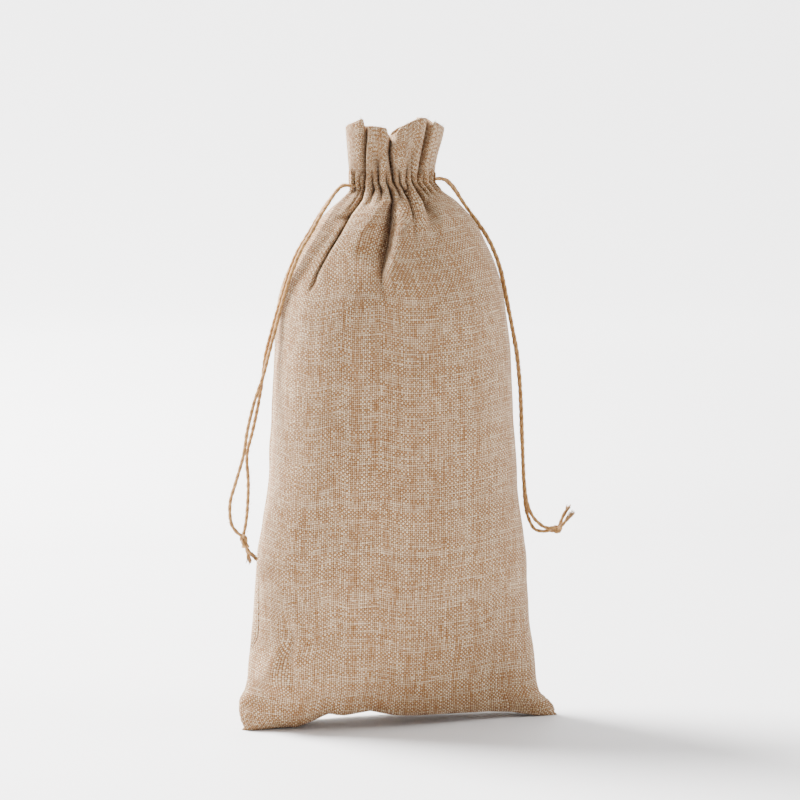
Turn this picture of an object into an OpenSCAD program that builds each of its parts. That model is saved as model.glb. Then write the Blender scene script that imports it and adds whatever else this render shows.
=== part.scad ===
// Drawstring wine gift bag of imitation linen, standing filled with its mouth drawn shut.
// Millimetres. X runs across the bag, the front faces -Y and Z points up from the floor.

/* [Bag] */
// Half of the bag's width along its bottom seam, from the middle to an ear
ear_reach = 84.5; // [82:0.5:86]
// Half of the filled bag's width at mid height
belly_reach = 64; // [62:0.5:66]
// Half of the filled bag's depth at mid height
belly_depth = 37.5; // [34:0.5:40]
// Height of the ruffled top edge over the floor
top_height = 315; // [312:0.5:320]
// Thickness of the woven cloth
cloth = 1.0; // [0.8:0.1:1.2]

/* [Neck] */
// Height of the middle of the drawstring casing
casing_height = 281; // [280:0.5:282]
// Half of the gathered neck's width
neck_reach = 22; // [21:0.5:23]
// Half of the gathered neck's depth
neck_depth = 11; // [10.8:0.1:11.5]
// Room between the two layers of cloth that the drawstrings run through
casing_room = 3; // [2.8:0.1:3.2]

/* [Drawstrings] */
// Diameter of the jute twine
twine = 2; // [1.8:0.1:2.1]
// Largest diameter of an end knot
knot_width = 5.2; // [4.8:0.2:5.6]
// Length of an end knot
knot_length = 7.5; // [6.5:0.5:8]

/* [Sewing] */
// Length of one visible stitch
stitch = 2.6; // [2:0.1:3]
// Thickness of the sewing thread
thread = 0.6; // [0.5:0.1:0.7]

/* [Hidden] */

linen = "#c9b08c";
linen_back = "#bfa580";
jute = "#b07a3c";
sewing = "#d9c9a8";

// Columns of cloth across one panel, and the number of steps between two hand-set rows.
columns = 24;
row_steps = 2;
// Sides of a twine tube, and the gap left where a hanging strand turns against its loop.
twine_sides = 8;
turn_gap = 0.3;

// The sewn bottom edges stand this far off the floor, between the two flat halves of the base.
seam_rise = 0.8;

// The body of a panel, from the bottom seam up to the shoulder. Each row is half width, half
// depth, height, roundness of the section (2 is an ellipse) and the tilt of the cloth's inner
// side, from 90 where it lies on the floor to 0 where it stands upright.
body_rows = [
    [ear_reach, 0, seam_rise, 1.5, 90],
    [ear_reach - 0.5, 5, 0, 1.5, 90],
    [ear_reach - 1, 12.5, 0, 1.5, 70],
    [ear_reach - 2.5, 16, 4.5, 1.6, 35],
    [79.5, 18.5, 11, 1.75, 22],
    [76.8, 21.5, 20, 1.85, 12],
    [75.2, 25, 38, 2, 6],
    [73, 29, 62, 2.1, 0],
    [69.2, belly_depth - 3.5, 96, 2.2, 0],
    [belly_reach, belly_depth, 140, 2.3, 0],
    [belly_reach - 2, belly_depth, 180, 2.3, 0],
    [59.8, belly_depth - 1.5, 212, 2.3, 0],
    [56, 33, 231, 2.2, 0],
    [50, 28.5, 246, 2.1, 0],
    [42.5, 23.8, 258, 2, 0],
    [35, 19.3, 267, 2, 0]
];

// The casing is open at both sides of the bag between these heights, so the twines can leave it.
slit_half = 3.2;
slit_sew = 4.5;
// Half widths of the straight front wall and of the facing behind it, inside the slits.
wall_reach = 15;
facing_reach = 10;
// Gap between the two layers of cloth where they are sewn together.
layer_gap = 0.3;
// Heights of the two rows of stitches that close the casing, from its middle.
stitch_rise = 7;
hem_rise = 9;

// The neck and the ruffle of a panel. Each row is half width, half depth, height, gap behind it
// and 1 where the casing is open at its sides or 0 where the side seams are closed.
neck_rows = [
    [30, 16.4, casing_height - hem_rise, layer_gap, 0],
    [27.4, 14.8, casing_height - stitch_rise, layer_gap, 0],
    [25.2, 13.3, casing_height - stitch_rise + 1.4, 1.2, 0],
    [neck_reach + 1.2, neck_depth + 1, casing_height - slit_sew, 2.2, 0],
    [neck_reach, neck_depth, casing_height - slit_half, casing_room, 1],
    [neck_reach, neck_depth, casing_height + slit_half, casing_room, 1],
    [neck_reach, neck_depth, casing_height + slit_sew, 2.2, 0],
    [neck_reach, neck_depth, casing_height + stitch_rise - 1.4, 1.2, 0],
    [neck_reach + 0.3, neck_depth + 0.2, casing_height + stitch_rise, layer_gap, 0],
    [neck_reach + 1.3, neck_depth + 0.8, casing_height + 17, layer_gap, 0],
    [neck_reach + 3, neck_depth + 2, top_height - 7, layer_gap, 0],
    [neck_reach + 3.6, neck_depth + 2.6, top_height, layer_gap, 0]
];

// A smooth curve through four values, for a place between the middle two.
function through(a, b, c, d, t) =
    b + 0.5 * t * (c - a + t * (2 * a - 5 * b + 4 * c - d + t * (3 * (b - c) + d - a)));
function pick(rows, i) = rows[max(0, min(len(rows) - 1, i))];
function smooth_rows(rows, steps) = [
    for (i = [0 : len(rows) - 2], s = [0 : steps - 1])
        through(pick(rows, i - 1), rows[i], rows[i + 1], pick(rows, i + 2), s / steps),
    rows[len(rows) - 1]
];

function signed_power(v, p) = sign(v) * pow(abs(v), p);
// A point of the front half of a section, from its left end at part 0 to its right end at part 1.
function oval_point(reach, depth, height, roundness, part) =
    let (turn = 180 * (1 - part), p = 2 / roundness)
    [reach * signed_power(cos(turn), p), -depth * signed_power(sin(turn), p), height];
function wall_point(reach, depth, height, part) = [reach * (2 * part - 1), -depth, height];
function part_across(j) = j / columns;

function body_row(row, inside) =
    let (
        inset = inside ? cloth * cos(row[4]) : 0,
        rise = inside ? cloth * sin(row[4]) : 0
    )
    [for (j = [0 : columns])
        oval_point(row[0] - inset, row[1] - inset, max(0, row[2]) + rise, row[3], part_across(j))];
function neck_row(row, inset, wall) = [
    for (j = [0 : columns])
        row[4] == 1
            ? wall_point(wall, row[1] - inset, row[2], part_across(j))
            : oval_point(row[0] - inset, row[1] - inset, row[2], 2, part_across(j))
];

// The cloth runs up the panel, folds over at the ruffle's top edge and comes down inside it as
// the facing, which ends below the casing. Its right side is out on the panel and in on the facing.
panel_body = smooth_rows(body_rows, row_steps);
panel_right_side = concat(
    [for (row = panel_body) body_row(row, false)],
    [for (row = neck_rows) neck_row(row, 0, wall_reach)],
    [for (i = [len(neck_rows) - 1 : -1 : 0])
        neck_row(neck_rows[i], 2 * cloth + neck_rows[i][3], facing_reach)]
);
panel_wrong_side = concat(
    [for (row = panel_body) body_row(row, true)],
    [for (i = [0 : len(neck_rows) - 1])
        neck_row(i == len(neck_rows) - 1 ? lowered(neck_rows[i]) : neck_rows[i], cloth, wall_reach)],
    [for (i = [len(neck_rows) - 1 : -1 : 0])
        neck_row(
            i == len(neck_rows) - 1 ? lowered(neck_rows[i]) : neck_rows[i],
            cloth + neck_rows[i][3],
            facing_reach
        )]
);
// The top row's wrong side lies one cloth lower, inside the fold.
function lowered(row) = [row[0], row[1], row[2] - cloth, row[3], row[4]];

// A closed sheet between two grids of points, which is cloth with a thickness.
module sheet(right_side, wrong_side) {
    rows = len(right_side);
    across = len(right_side[0]);
    wrong = rows * across;
    function at(i, j) = i * across + j;
    function quad(a, b, c, d) = [[a, b, c], [a, c, d]];
    polyhedron(
        points = concat([for (row = right_side) each row], [for (row = wrong_side) each row]),
        faces = concat(
            [for (i = [0 : rows - 2], j = [0 : across - 2])
                each quad(at(i, j), at(i + 1, j), at(i + 1, j + 1), at(i, j + 1))],
            [for (i = [0 : rows - 2], j = [0 : across - 2])
                each quad(wrong + at(i, j), wrong + at(i, j + 1), wrong + at(i + 1, j + 1),
                    wrong + at(i + 1, j))],
            [for (j = [0 : across - 2])
                each quad(at(0, j), at(0, j + 1), wrong + at(0, j + 1), wrong + at(0, j))],
            [for (j = [0 : across - 2])
                each quad(at(rows - 1, j + 1), at(rows - 1, j), wrong + at(rows - 1, j),
                    wrong + at(rows - 1, j + 1))],
            [for (i = [0 : rows - 2])
                each quad(at(i + 1, 0), at(i, 0), wrong + at(i, 0), wrong + at(i + 1, 0))],
            [for (i = [0 : rows - 2])
                each quad(at(i, across - 1), at(i + 1, across - 1), wrong + at(i + 1, across - 1),
                    wrong + at(i, across - 1))]
        )
    );
}

// A round tube swept along a route, with a rounded first end where round_start is set.
function unit(v) = v / norm(v);
function heading(route, i) = unit(pick(route, i + 1) - pick(route, i - 1));
// The side direction is carried along the route, so that the tube doesn't twist.
function carried(side, along) = unit(side - along * (side * along));
function sides_along(route, i = 0, side = [0.12, 1, 0.2], done = []) =
    i == len(route)
        ? done
        : let (next = carried(side, heading(route, i)))
          sides_along(route, i + 1, next, concat(done, [next]));
function ring(centre, along, side, radius) =
    let (up = cross(along, side))
    [for (k = [0 : twine_sides - 1])
        let (turn = 360 * k / twine_sides) centre + radius * (side * cos(turn) + up * sin(turn))];
module tube(route, width, round_start = false) {
    last = len(route) - 1;
    side = sides_along(route);
    radius = width / 2;
    start = heading(route, 0);
    cap_turns = [15, 50];
    cap = round_start
        ? [for (turn = cap_turns)
            ring(route[0] - start * radius * cos(turn), start, side[0], radius * sin(turn))]
        : [];
    rings = concat(cap, [for (i = [0 : last]) ring(route[i], heading(route, i), side[i], radius)]);
    ends = len(rings) - 1;
    polyhedron(
        points = [for (r = rings) each r],
        faces = concat(
            [[for (k = [0 : twine_sides - 1]) k]],
            [[for (k = [twine_sides - 1 : -1 : 0]) ends * twine_sides + k]],
            [for (i = [0 : ends - 1], k = [0 : twine_sides - 1])
                let (
                    next = (k + 1) % twine_sides,
                    a = i * twine_sides + k,
                    b = i * twine_sides + next,
                    c = a + twine_sides,
                    d = b + twine_sides
                )
                each [[a, c, d], [a, d, b]]]
        )
    );
}

// Where each drawstring leaves its slit and its hanging strands turn: how far out, and how high.
turn_out = 25.5;
// The two loops pass each other in the casing, one this far below its middle, one as far above.
loop_step = 1.5;
left_height = casing_height - loop_step;
right_height = casing_height + loop_step;
// Half of the distance between a drawstring's two strands as they leave the slit.
strand_half = 1.3;
// The loop's straight runs in the front and back casings, and the middle of its round end.
run_depth = neck_depth - cloth - casing_room / 2;
loop_end = 13.5;

// A loop as seen from above for the left drawstring: out of the left slit, along the front
// casing, round through the right slit and back along the back casing.
loop_start = [
    [turn_out - twine / 2 - turn_gap, strand_half],
    [21.5, 1.7],
    [18.5, 3.6],
    [15.5, 6.2],
    [13, 8],
    [11, run_depth]
];
loop_turn_steps = 10;
function loop_route(height) = concat(
    [for (p = loop_start) [-p[0], -p[1], height]],
    [[-4, -run_depth, height], [4, -run_depth, height]],
    [for (k = [0 : loop_turn_steps])
        let (turn = -90 + 180 * k / loop_turn_steps)
        [loop_end + run_depth * cos(turn), run_depth * sin(turn), height]],
    [[4, run_depth, height], [-4, run_depth, height]],
    [for (i = [len(loop_start) - 1 : -1 : 0]) [-loop_start[i][0], loop_start[i][1], height]]
);

// The strands hang over the shoulders and down beside the bag. Each route starts at its slit.
left_front_route = [
    [-turn_out, -strand_half, left_height],
    [-27.8, -1.9, 278],
    [-30.4, -3.4, 275.4],
    [-34, -6.5, 271],
    [-38.8, -9.5, 264.5],
    [-43.5, -11.5, 256.5],
    [-48.6, -12.2, 248.5],
    [-53.5, -11.8, 237],
    [-57.8, -10.2, 223],
    [-61.4, -8.5, 209],
    [-65, -7.5, 195],
    [-68, -7, 183.5],
    [-72.6, -6.5, 170],
    [-76, -6, 156],
    [-78.2, -6, 143],
    [-82.2, -6, 129.5],
    [-85.2, -6, 119],
    [-84.8, -6, 109],
    [-82, -6, 104],
    [-79.5, -6, 102]
];
left_back_route = [
    [-turn_out, strand_half, left_height],
    [-27.8, 0.7, 277.6],
    [-30.6, -0.7, 274.6],
    [-34.7, -3.8, 270],
    [-40, -6.9, 263],
    [-45.2, -8.9, 255],
    [-50.3, -9.3, 247],
    [-54.7, -8.9, 236.5],
    [-58.8, -7.4, 222.5],
    [-62.6, -6, 209],
    [-66.2, -5, 195],
    [-67.8, -4.4, 183],
    [-70, -4, 169.5],
    [-73, -3.6, 155.5],
    [-76, -3.4, 143],
    [-75.5, -4, 129],
    [-76, -4.6, 118],
    [-77, -5, 108.5],
    [-78.5, -5.6, 102]
];
right_front_route = [
    [turn_out, -strand_half, right_height],
    [28.2, -1.2, 281.2],
    [31.7, -1, 277.4],
    [36.2, -0.9, 271.2],
    [41.7, -0.7, 263.7],
    [48.3, -0.4, 255],
    [53, 0, 246.5],
    [57, 0.4, 236],
    [60, 0.8, 223.5],
    [63, 1, 208.5],
    [66.2, 1, 192.5],
    [68.2, 1, 172.5],
    [69.2, 1, 152],
    [69.8, 1, 136],
    [70.6, 0.8, 122.5],
    [72, 0.4, 113],
    [75, 0, 105.5],
    [80, -0.6, 100.5],
    [84.2, -1, 99]
];
right_back_route = [
    [turn_out, strand_half, right_height],
    [28.8, 1.4, 281.6],
    [32.8, 1.6, 277.6],
    [37.2, 1.8, 270.5],
    [43, 1.9, 262.5],
    [49.2, 2.3, 253.5],
    [54, 2.7, 244.5],
    [57.5, 3, 234],
    [60.3, 3.4, 221.5],
    [63.4, 3.6, 207.5],
    [66.4, 3.6, 191],
    [68.4, 3.6, 172],
    [69.3, 3.6, 152],
    [70.2, 3.6, 135.5],
    [70.8, 3.2, 121],
    [72, 2.4, 108.5],
    [75.5, 1.4, 99.5],
    [80, 0.4, 97.5],
    [84.2, -0.4, 98]
];

// The knots, as their middle and the way that the strands run into them.
left_knot_at = [-78, -6, 98.5];
left_knot_way = [0.25, 0, -1];
right_knot_at = [87.2, -1.2, 98.5];
right_knot_way = [1, -0.1, -0.05];

left_front_tail_route = [[-77.6, -6.4, 96.5], [-76, -6.8, 94], [-74, -7.2, 91.6], [-71.8, -7.6, 89.2]];
left_back_tail_route = [[-77.2, -5.4, 96.5], [-76.4, -4.6, 93.4], [-75.6, -4, 90.2], [-75, -3.6, 87]];
right_front_tail_route = [[88.8, -1.6, 99.2], [91.4, -2, 102], [93.8, -2.4, 105], [96.2, -2.6, 108]];
right_back_tail_route = [[89, -0.6, 99.8], [90.6, 0, 103.5], [92.6, 0.4, 107.5], [94.8, 0.6, 111]];

// One row of stitches across a panel, lying half in the cloth.
stitches_across = 9;
module stitch_row(row, sink) {
    for (k = [1 : stitches_across]) {
        part = k / (stitches_across + 1);
        here = oval_point(row[0], row[1], row[2], 2, part);
        ahead = oval_point(row[0], row[1], row[2], 2, part + 0.01);
        turn = atan2(ahead[1] - here[1], ahead[0] - here[0]);
        translate(here + [0, sink, 0])
            rotate([0, 0, turn])
                cube([stitch, thread, thread], center = true);
    }
}
upper_stitch_row = neck_rows[8];
lower_stitch_row = neck_rows[1];
stitch_sink = 0.1;

// A side seam's thread lies in the corner where the two panels meet, inside the bag.
seam_first_row = 8;
function seam_line(side) = concat(
    [for (i = [seam_first_row : len(panel_body) - 1])
        [side * (panel_body[i][0] - cloth), 0, panel_body[i][2]]],
    [for (i = [0, 1]) [side * (neck_rows[i][0] - 2 * cloth), 0, neck_rows[i][2]]]
);
function header_seam_line(side) = [
    for (i = [8, 9, 10]) [side * (neck_rows[i][0] - 2 * cloth - layer_gap), 0, neck_rows[i][2]]
];
module seam_thread(side) {
    color(sewing) {
        tube(seam_line(side), thread);
        tube(header_seam_line(side), thread);
    }
}

// An end knot is two fat turns of twine pulled tight against each other.
module knot(at, way) {
    apart = (knot_length - knot_width) / 2;
    for (end = [-1, 1])
        translate(at + unit(way) * end * apart)
            sphere(d = knot_width, $fn = 48);
}

module front_panel() {
    color(linen)
        sheet(panel_right_side, panel_wrong_side);
}
module back_panel() {
    color(linen_back)
        mirror([0, 1, 0])
            sheet(panel_right_side, panel_wrong_side);
}
module bottom_seam_thread() {
    color(sewing)
        translate([0, 0, seam_rise + cloth])
            rotate([0, 90, 0])
                cylinder(h = 2 * (ear_reach - 6), d = thread, center = true, $fn = 16);
}
module left_seam_thread() {
    seam_thread(-1);
}
module right_seam_thread() {
    seam_thread(1);
}
module front_upper_stitches() {
    color(sewing)
        stitch_row(upper_stitch_row, stitch_sink);
}
module front_lower_stitches() {
    color(sewing)
        stitch_row(lower_stitch_row, stitch_sink);
}
module back_upper_stitches() {
    color(sewing)
        mirror([0, 1, 0])
            stitch_row(upper_stitch_row, stitch_sink);
}
module back_lower_stitches() {
    color(sewing)
        mirror([0, 1, 0])
            stitch_row(lower_stitch_row, stitch_sink);
}
module left_drawstring_loop() {
    color(jute)
        tube(loop_route(left_height), twine);
}
module left_front_strand() {
    color(jute)
        tube(left_front_route, twine, true);
}
module left_back_strand() {
    color(jute)
        tube(left_back_route, twine, true);
}
module left_knot() {
    color(jute)
        knot(left_knot_at, left_knot_way);
}
module left_front_tail() {
    color(jute)
        tube(left_front_tail_route, twine);
}
module left_back_tail() {
    color(jute)
        tube(left_back_tail_route, twine);
}
module right_drawstring_loop() {
    color(jute)
        mirror([1, 0, 0])
            tube(loop_route(right_height), twine);
}
module right_front_strand() {
    color(jute)
        tube(right_front_route, twine, true);
}
module right_back_strand() {
    color(jute)
        tube(right_back_route, twine, true);
}
module right_knot() {
    color(jute)
        knot(right_knot_at, right_knot_way);
}
module right_front_tail() {
    color(jute)
        tube(right_front_tail_route, twine);
}
module right_back_tail() {
    color(jute)
        tube(right_back_tail_route, twine);
}

front_panel();
back_panel();
bottom_seam_thread();
left_seam_thread();
right_seam_thread();
front_upper_stitches();
front_lower_stitches();
back_upper_stitches();
back_lower_stitches();
left_drawstring_loop();
left_front_strand();
left_back_strand();
left_knot();
left_front_tail();
left_back_tail();
right_drawstring_loop();
right_front_strand();
right_back_strand();
right_knot();
right_front_tail();
right_back_tail();
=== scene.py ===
import math
import random

import bpy
import numpy as np
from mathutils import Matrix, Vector, noise


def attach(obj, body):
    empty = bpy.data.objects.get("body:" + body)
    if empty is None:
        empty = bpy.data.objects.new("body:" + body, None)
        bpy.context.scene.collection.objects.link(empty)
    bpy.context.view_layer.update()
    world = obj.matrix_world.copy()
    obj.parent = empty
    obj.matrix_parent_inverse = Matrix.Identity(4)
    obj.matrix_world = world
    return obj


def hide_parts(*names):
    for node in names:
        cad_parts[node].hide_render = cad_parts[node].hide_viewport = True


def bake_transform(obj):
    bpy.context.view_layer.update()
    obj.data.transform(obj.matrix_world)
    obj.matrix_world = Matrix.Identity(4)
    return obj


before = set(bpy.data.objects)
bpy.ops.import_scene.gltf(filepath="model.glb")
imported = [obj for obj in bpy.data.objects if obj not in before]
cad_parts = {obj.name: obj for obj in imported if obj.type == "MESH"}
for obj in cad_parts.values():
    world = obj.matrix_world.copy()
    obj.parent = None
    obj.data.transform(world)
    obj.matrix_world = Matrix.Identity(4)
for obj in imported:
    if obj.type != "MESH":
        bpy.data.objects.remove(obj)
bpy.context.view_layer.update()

MM = 0.001

# Cloth, in millimetres
HALF_FLAT = 85.0  # half the flat width of the bag
THICK = 0.9  # one layer of cloth
COLUMNS = 190  # mesh columns over one panel
BODY_STEP = 2.0  # mesh row spacing on the body
NECK_STEP = 1.05  # mesh row spacing from the shoulder up
SHOULDER_Z = 226.0
CASING_LOW = 274.0  # lower row of casing stitches
CASING_HIGH = 288.0  # upper row of casing stitches
TOP_Z = 315.0
HULL_POINTS = 700  # points along half the outline, before it is folded
RUFFLE_SHIFT = 1.5  # how far the ruffle's top edge leans to its right
FACING_GAP = 1.5  # from the panel to its folded-in hem
BACK_THREADS = 411  # threads between the two panels' places in the weave, so their slubs differ
TWINE = 2.0  # diameter of the drawstring
PLIES = 2
PLY_TURN = 8.5  # length of twine in which a ply goes round once
TIGHT_TURN = 6.0  # the same in the knots and the tails
GROOVE = 0.24  # how far the groove between two plies cuts in, as a share of the radius
TWINE_SIDES = 14
TWINE_STEP = 0.45  # mesh ring spacing along a twine
LOOP_DEPTH = 2.4  # how far the loop in the casing runs in front of and behind the middle
LOOP_REACH = 18.2  # how far from the middle the loop turns back
PANEL_THREAD = 0.14  # radius of the stitches along the casing
SEAM_THREAD = 0.26  # radius of the stitches in the seams

# Half width, half depth, height and roundness of the bag's outline
OUTLINE = [
    (84.5, 0.3, 0.8, 1.5), (84, 5, 0.3, 1.5), (83.5, 12.5, 0.3, 1.5), (82, 16, 4.5, 1.6),
    (79.5, 18.5, 11, 1.75), (76.8, 21.5, 20, 1.85), (75.2, 25, 38, 2), (73, 29, 62, 2.1),
    (69.2, 34, 96, 2.2), (64, 37.5, 140, 2.3), (62, 37.5, 180, 2.3), (59.8, 36, 212, 2.3),
    (56, 33, 231, 2.2), (50, 28.5, 246, 2.1), (42.5, 23.8, 258, 2), (35, 19.3, 267, 2),
    (29, 15.8, 272.5, 2), (24.6, 12.8, 276, 2), (22.2, 11.2, 279.5, 2), (22, 11.2, 284.5, 2),
    (22.4, 11.6, 288, 2), (23.4, 12.2, 297, 2), (24.8, 13, 307, 2), (25.6, 13.4, 315, 2),
]

# Folds of the front panel. Each has its place across the flat cloth, then rows of height,
# x, depth, and width to its left and to its right.
FRONT_FOLDS = [
    (-74, [(274, -25.5, 0, 2, 2), (278, -22, 3, 2, 2), (281, -21, 5, 1.8, 1.8),
           (285, -21, 2.5, 2, 2), (289, -21.5, 0, 2, 2)]),
    (-64, [(266, -30, 0, 3, 3), (272, -24.5, 2.6, 2.4, 2.4), (277, -19.8, 5, 2, 2),
           (281, -18.6, 6, 2, 2), (285, -18.8, 2.5, 2, 2), (289, -19, 0, 2, 2)]),
    (-52, [(226, -47.5, 0, 9, 4), (236, -43.5, 2.6, 10, 3.2), (247, -38, 5, 10, 2.8),
           (256, -32.5, 6.6, 9, 2.6), (265, -27.5, 7, 6, 2.6), (273, -21, 6.4, 3, 2.4),
           (281, -16.4, 7, 2, 2), (285, -16.2, 8.4, 1.6, 1.8), (290, -16.4, 9.6, 1.3, 1.6),
           (302, -17, 10.5, 1.3, 1.8), (315, -17.6, 10.5, 1.5, 2.4)]),
    (-38, [(268, -19, 0, 3, 3), (274, -15.5, 3, 2.6, 2.6), (278, -12.8, 5.5, 2.2, 2.2),
           (281, -12.2, 6.5, 2, 2), (285, -12.2, 3.2, 2, 2), (290, -12.4, 0.8, 2.4, 2.4),
           (293, -12.5, 0, 2.4, 2.4)]),
    (-28, [(270, -12.6, 0, 3, 3), (276, -9.8, 4, 2.4, 2.4), (281, -9, 6.5, 2, 2),
           (286, -9.2, 4.5, 2.4, 2.2), (292, -9.6, 2.8, 3.4, 3), (299, -9.8, 1.2, 4, 3.6),
           (306, -9.8, 0, 4, 4)]),
    (-14, [(222, -13.5, 0, 16, 9), (231, -12, 2.6, 16, 6), (240, -9.8, 6, 18, 3.6),
           (250, -6.8, 9.6, 18, 3), (261, -5.3, 11, 12, 3), (270, -4.8, 9.6, 6, 2.8),
           (277, -4.6, 7.5, 2.6, 2.2), (281, -4.6, 6.5, 2, 2), (285, -4.8, 3, 2, 2),
           (289, -5, 0, 2, 2)]),
    (-4, [(267, 0.2, 0, 2, 2), (274, -0.4, 2.4, 2, 2.2), (279, -0.8, 5.4, 2, 2.2),
          (282, -1.1, 8.5, 2, 2.6), (286, -1.6, 10, 2.4, 3.6), (290, -2.3, 10.4, 2.6, 3.4),
          (302, -4, 10.6, 3, 2.6), (315, -4.5, 10.6, 4, 4)]),
    (8, [(247, 8, 0, 5, 5), (256, 6.8, 0.9, 4, 4.4), (263, 5.8, 2.2, 3.2, 3.6),
         (268, 4.8, 3.8, 2.6, 2.8), (274, 3.2, 5.5, 2.2, 2.4), (279, 2.2, 6.5, 2, 2.2),
         (283, 2.2, 5, 2, 2), (288, 2.4, 1.6, 2.4, 2.4), (292, 2.4, 0, 3, 3)]),
    (20, [(276, 6.4, 0, 2, 2), (279, 6, 4.5, 2, 2), (281, 5.8, 6, 1.8, 1.8), (285, 6, 3.6, 2, 2),
          (290, 6.6, 1.4, 3, 3), (296, 7, 0, 3, 3)]),
    (32, [(248, 17.6, 0, 6, 10), (257, 15.8, 1.2, 4.6, 9), (264, 13.8, 3, 3.2, 7.6),
          (269, 12.4, 5, 2.4, 6.4), (273, 11.2, 6.6, 2, 5.5),
          (278, 9.8, 7, 2, 3.6), (282, 9.2, 6, 2, 2.4), (288, 8.2, 3, 3, 3), (296, 7.6, 1.8, 4, 4),
          (304, 7.4, 0.6, 4, 4), (309, 7.4, 0, 4, 4)]),
    (50, [(270, 17.6, 0, 3, 3), (276, 14, 4, 2.4, 2.4), (281, 11.8, 6.6, 2.2, 2),
          (285, 13.4, 8, 3, 1.6), (290, 14.6, 9.4, 4, 1.5), (302, 16.4, 10.2, 5, 1.6),
          (315, 18.2, 9.6, 6, 2.2)]),
    (60, [(272, 19.6, 0, 3, 3), (277, 16.6, 3.6, 2.2, 2.2), (281, 15.6, 6, 2, 2),
          (285, 16, 2.6, 2, 2), (289, 16.4, 0, 2, 2)]),
    (72, [(273, 23.6, 0, 3, 3), (277, 20.4, 3, 2.2, 2.2), (281, 19.2, 5.5, 2, 2),
          (285, 19.4, 2.6, 2, 2), (290, 20, 0, 2, 2)]),
]
BACK_FOLDS = [
    (-70, [(270, -25.6, 0, 3, 3), (276, -21.6, 3.4, 2.2, 2.2), (281, -20, 5.4, 2, 2),
           (286, -20.2, 2, 2.2, 2.2), (290, -20.6, 0, 2.2, 2.2)]),
    (-58, [(271, -21, 0, 3, 3), (276, -17.6, 3.6, 2.2, 2.2), (281, -16.6, 6, 2, 2),
           (285, -16.6, 2.6, 2, 2), (289, -16.8, 0, 2, 2)]),
    (-46, [(240, -33, 0, 4, 9), (249, -29, 2.6, 3.4, 9), (259, -23.6, 5.4, 3, 7),
           (268, -17.6, 6.6, 2.6, 5), (276, -13.8, 7, 2.4, 2.6), (281, -13, 7.2, 2, 2),
           (290, -13, 8.6, 2, 3.4), (302, -13.2, 9.8, 2, 5), (315, -13.6, 10, 2.4, 6)]),
    (-30, [(266, -13, 0, 3, 3), (272, -10.6, 3.6, 2.6, 2.6), (278, -9.2, 6.2, 2.2, 2.2),
           (282, -9, 6, 2, 2), (288, -8.6, 2.4, 3, 3), (296, -8.4, 0.8, 4, 4), (302, -8.4, 0, 4, 4)]),
    (-15, [(252, -6.8, 0, 5, 4), (260, -5.8, 3, 4, 4), (269, -4.8, 6, 3, 3),
           (281, -4.4, 7, 2, 2), (286, -4.2, 3, 2.6, 2.6), (291, -4, 0, 3, 3)]),
    (2, [(218, 8, 0, 8, 16), (229, 7.4, 2.4, 6, 16), (240, 6, 5.6, 4.4, 15),
         (251, 3.8, 8.6, 3.4, 12), (262, 1.6, 9.6, 3, 8), (272, 0.2, 9.2, 2.8, 3.6),
         (281, -0.4, 8.4, 2.4, 2.4), (290, -1.2, 9.8, 3, 3), (302, -2.6, 10.2, 3.4, 4),
         (315, -3.6, 10.2, 4.4, 5)]),
    (16, [(272, 5.4, 0, 2.4, 2.4), (277, 4.6, 4.4, 2, 2), (281, 4.2, 6, 2, 2),
          (286, 4.4, 2.4, 2.4, 2.4), (291, 4.8, 0, 3, 3)]),
    (28, [(264, 12.6, 0, 3, 4), (271, 10, 3.8, 2.6, 3), (278, 8.6, 6.4, 2.2, 2.2),
          (283, 8.6, 5.4, 2.2, 2.2), (290, 8.8, 2, 3.4, 3.4), (300, 9, 0.6, 4, 4), (306, 9, 0, 4, 4)]),
    (44, [(246, 29, 0, 8, 4), (256, 24, 3.4, 7, 3.4), (267, 18, 6, 4, 2.6), (276, 14, 6.6, 2.4, 2.4),
          (281, 13, 7, 2, 2), (290, 13.6, 8.8, 3.4, 2), (302, 14.6, 10, 5, 2),
          (315, 15.6, 10, 6, 2.4)]),
    (57, [(271, 20, 0, 3, 3), (276, 17.4, 3.6, 2.2, 2.2), (281, 16.4, 6, 2, 2),
          (285, 16.6, 2.6, 2, 2), (289, 17, 0, 2, 2)]),
    (70, [(270, 25.2, 0, 3, 3), (276, 21.2, 3.4, 2.2, 2.2), (281, 19.8, 5.4, 2, 2),
          (286, 20, 2.2, 2.2, 2.2), (290, 20.4, 0, 2.2, 2.2)]),
]
# Height of the ruffle's top edge against x, on each panel
FRONT_TOP = [(-26, 309.2), (-19.2, 312.6), (-17.7, 312.4), (-16.7, 309), (-15, 308.8),
             (-12, 308.9), (-7.2, 308), (-5.2, 304.8), (-4.2, 303), (-3, 304.8), (1.3, 309),
             (6.6, 311.5), (10.9, 313.1), (15.1, 312.8), (17.6, 310.6), (19, 311.2),
             (22.2, 309.8), (26.5, 307.5)]
BACK_TOP = [(-26, 308.6), (-18, 309), (-14.4, 307), (-9, 307.4), (-6, 305), (-4, 301.6),
            (-1, 304), (4, 307.6), (12, 310.4), (16.4, 308), (21, 308.6), (27.4, 306)]

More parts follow.
